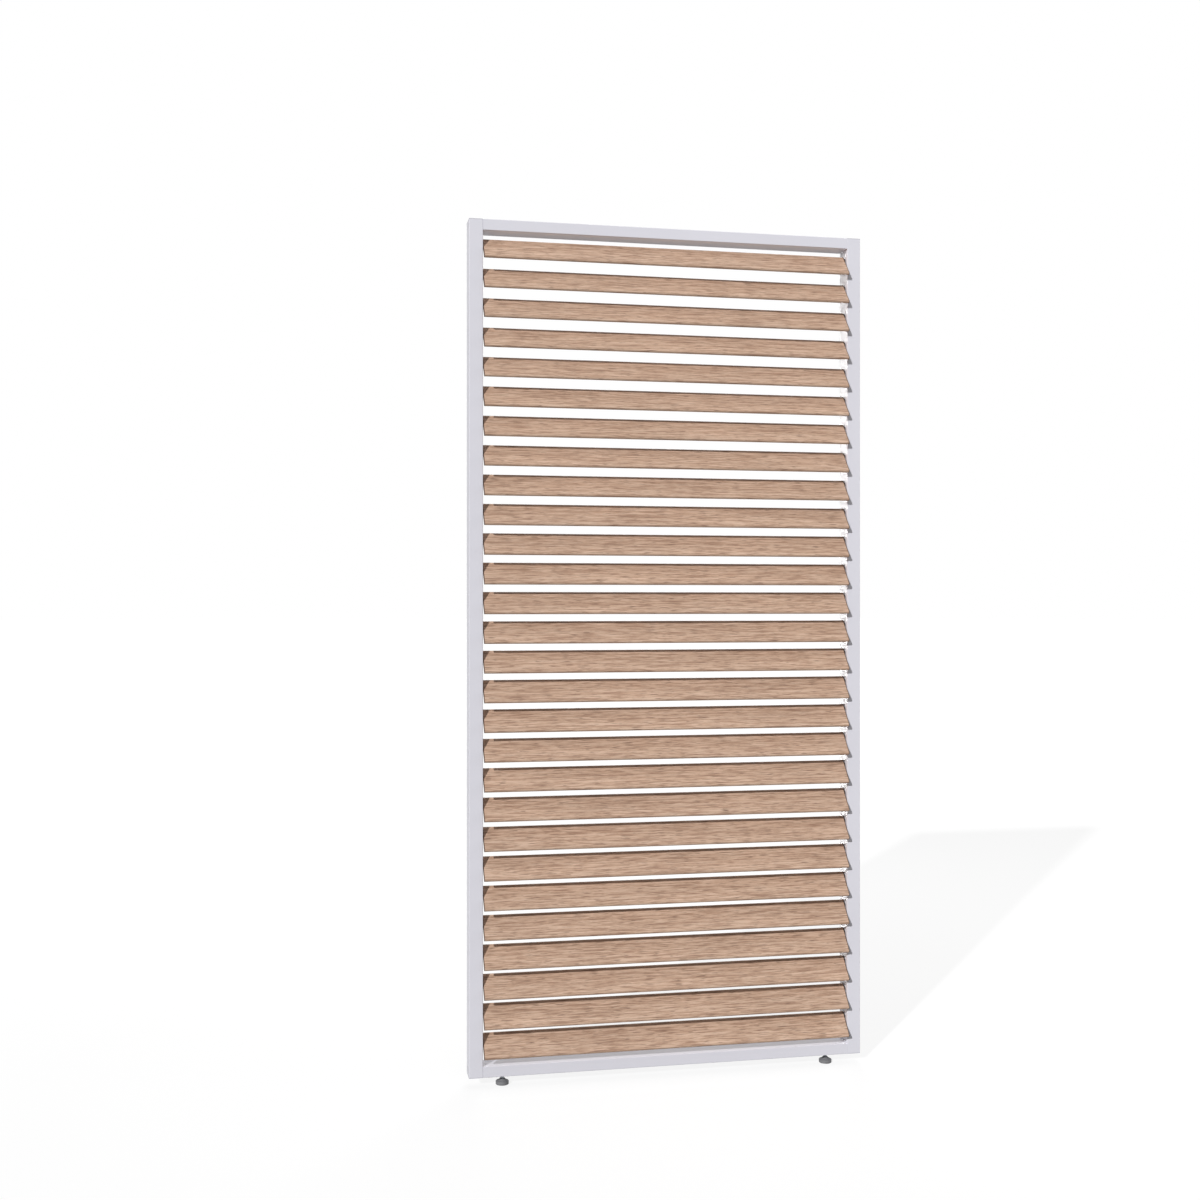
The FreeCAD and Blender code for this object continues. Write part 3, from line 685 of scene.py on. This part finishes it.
class SCREEN_OT_stage(bpy.types.Operator):
    """Set up the floor, lights and camera"""
    bl_idname = "slatted_screen.stage"
    bl_label = "Studio"

    def execute(self, context):
        scene = context.scene
        settings = scene.screen_stage
        scene.view_settings.view_transform = "Standard"
        self.floor(settings, scene.screen_colours)
        self.world(settings)
        self.lamp("key_light", "SUN", settings.key_strength, settings.key_travel,
                  angle=settings.key_angle)
        lamps = {name: self.lamp(name, "AREA", getattr(settings, watts), travel, at=place,
                                 shape="RECTANGLE", size=width, size_y=height)
                 for name, watts, travel, place, (width, height) in SOFTBOXES}
        self.gleam_only(lamps["strip_light"], "right_stile")
        camera = bpy.data.cameras.new("camera")
        camera.lens = settings.lens
        camera.sensor_width = SENSOR_MM
        camera.shift_y = settings.rise
        eye = bpy.data.objects.new("camera", camera)
        scene.collection.objects.link(eye)
        eye.location = settings.eye
        eye.rotation_euler = (math.pi / 2, 0.0, -settings.yaw)
        scene.camera = eye
        return {"FINISHED"}

    def gleam_only(self, lamp, node):
        """Let a lamp shine on one node alone, and only as a gleam in its surface."""
        lit = bpy.data.collections.new("lit_by_" + lamp.name)
        lit.objects.link(frame["nodes"][node])
        lamp.light_linking.receiver_collection = lit
        lamp.visible_camera = False
        lamp.visible_diffuse = False

    def lamp(self, name, kind, energy, travel, at=(0.0, 0.0, 0.0), **more):
        """Add a lamp that shines the way it travels, and return its object."""
        light = bpy.data.lights.new(name, kind)
        light.energy = energy
        for key, value in more.items():
            setattr(light, key, value)
        holder = bpy.data.objects.new(name, light)
        bpy.context.scene.collection.objects.link(holder)
        holder.location = at
        holder.rotation_euler = Vector(travel).to_track_quat("-Z", "Y").to_euler()
        return holder

    def seen(self, tree):
        """One for rays from the camera, a mirror or glass, and nothing for light that bounces."""
        path = add(tree, "ShaderNodeLightPath")
        mirror = add(tree, "ShaderNodeMath", operation="MAXIMUM", i0=path.outputs["Is Camera Ray"],
                     i1=path.outputs["Is Glossy Ray"])
        return add(tree, "ShaderNodeMath", operation="MAXIMUM", i0=mirror.outputs["Value"],
                   i1=path.outputs["Is Transmission Ray"]).outputs["Value"]

    def floor(self, settings, colours):
        """Round floor: rings of points out to the horizon, and one flat face in the middle ring."""
        rings = len(FLOOR_REACH)
        radii = np.repeat(FLOOR_REACH[:, None], FLOOR_POINTS, axis=1)
        grid = turned(radii, np.zeros(rings), (0.0, 0.0))
        quads = ring_quads(rings, FLOOR_POINTS, False)[:, ::-1]
        corners = np.concatenate([quads.ravel(), np.arange(FLOOR_POINTS)])
        sizes = np.repeat([4, FLOOR_POINTS], [len(quads), 1])
        # Painted board, matt: seen as white where light falls on it, and grey in the shadow
        material, tree, shader = new_material("painted_studio_board")
        shader.inputs["Roughness"].default_value = 0.9
        shader.inputs["Specular IOR Level"].default_value = 0.0
        place = add(tree, "ShaderNodeTexCoord").outputs["Object"]
        cloud = add(tree, "ShaderNodeTexNoise", Vector=place, Scale=cell(900.0), Detail=1.0)
        tone = add(tree, "ShaderNodeMix", data_type="RGBA", i0=cloud.outputs["Fac"],
                   i6=dimmed(colours.floor, 0.98), i7=colours.floor)
        tree.links.new(tone.outputs[2], shader.inputs["Base Color"])
        off = add(tree, "ShaderNodeVectorMath", operation="LENGTH", i0=place)
        white = add(tree, "ShaderNodeMapRange", Value=off.outputs["Value"], From_Min=LIFT_FROM,
                    From_Max=LIFT_TO, To_Min=settings.near_lift, To_Max=settings.far_lift)
        lift = add(tree, "ShaderNodeMath", operation="MULTIPLY", i0=self.seen(tree),
                   i1=white.outputs["Result"])
        shader.inputs["Emission Color"].default_value = (1.0, 1.0, 1.0, 1.0)
        tree.links.new(lift.outputs["Value"], shader.inputs["Emission Strength"])
        mesh = new_mesh("studio_floor", (grid.reshape(-1, 3), corners, sizes), material)
        board = bpy.data.objects.new("studio_floor", mesh)
        bpy.context.scene.collection.objects.link(board)

    def world(self, settings):
        """White where it is seen, and an even ambient light where it only lights."""
        world = bpy.data.worlds.new("studio")
        world.use_nodes = True
        tree = world.node_tree
        tree.nodes.clear()
        strength = add(tree, "ShaderNodeMapRange", Value=self.seen(tree), To_Min=settings.ambient,
                       To_Max=1.0)
        light = add(tree, "ShaderNodeBackground", Color=(1.0, 1.0, 1.0, 1.0),
                    Strength=strength.outputs["Result"])
        add(tree, "ShaderNodeOutputWorld", Surface=light.outputs["Background"])
        bpy.context.scene.world = world


STEPS = (SCREEN_OT_blades, SCREEN_OT_end_caps, SCREEN_OT_foot_pads, SCREEN_OT_studs,
         SCREEN_OT_frame, SCREEN_OT_stage)


class SCREEN_PT_sidebar(bpy.types.Panel):
    """Steps that dress the screen, in order"""
    bl_idname = "SCREEN_PT_sidebar"
    bl_label = "Slatted Screen"
    bl_space_type = "VIEW_3D"
    bl_region_type = "UI"
    bl_category = "Screen"

    def draw(self, context):
        for step in STEPS:
            self.layout.operator(step.bl_idname)
        for group in GROUPS:
            settings = getattr(context.scene, group)
            box = self.layout.box()
            for name in settings.__annotations__:
                box.prop(settings, name)


GROUPS = {
    "screen_slats": SlatSizes,
    "screen_feet": FootSizes,
    "screen_colours": FinishColours,
    "screen_stage": StageSettings,
}


def register():
    """Register the settings, the steps and the panel."""
    for name, group in GROUPS.items():
        bpy.utils.register_class(group)
        setattr(bpy.types.Scene, name, PointerProperty(type=group))
    for step in STEPS:
        bpy.utils.register_class(step)
    bpy.utils.register_class(SCREEN_PT_sidebar)


def unregister():
    """Take the panel, the steps and the settings out again."""
    bpy.utils.unregister_class(SCREEN_PT_sidebar)
    for step in reversed(STEPS):
        bpy.utils.unregister_class(step)
    for name, group in reversed(GROUPS.items()):
        delattr(bpy.types.Scene, name)
        bpy.utils.unregister_class(group)


def main():
    """Register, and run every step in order."""
    register()
    bpy.ops.slatted_screen.blades()
    bpy.ops.slatted_screen.end_caps()
    bpy.ops.slatted_screen.foot_pads()
    bpy.ops.slatted_screen.studs()
    bpy.ops.slatted_screen.frame()
    bpy.ops.slatted_screen.stage()


if __name__ == "__main__":
    main()
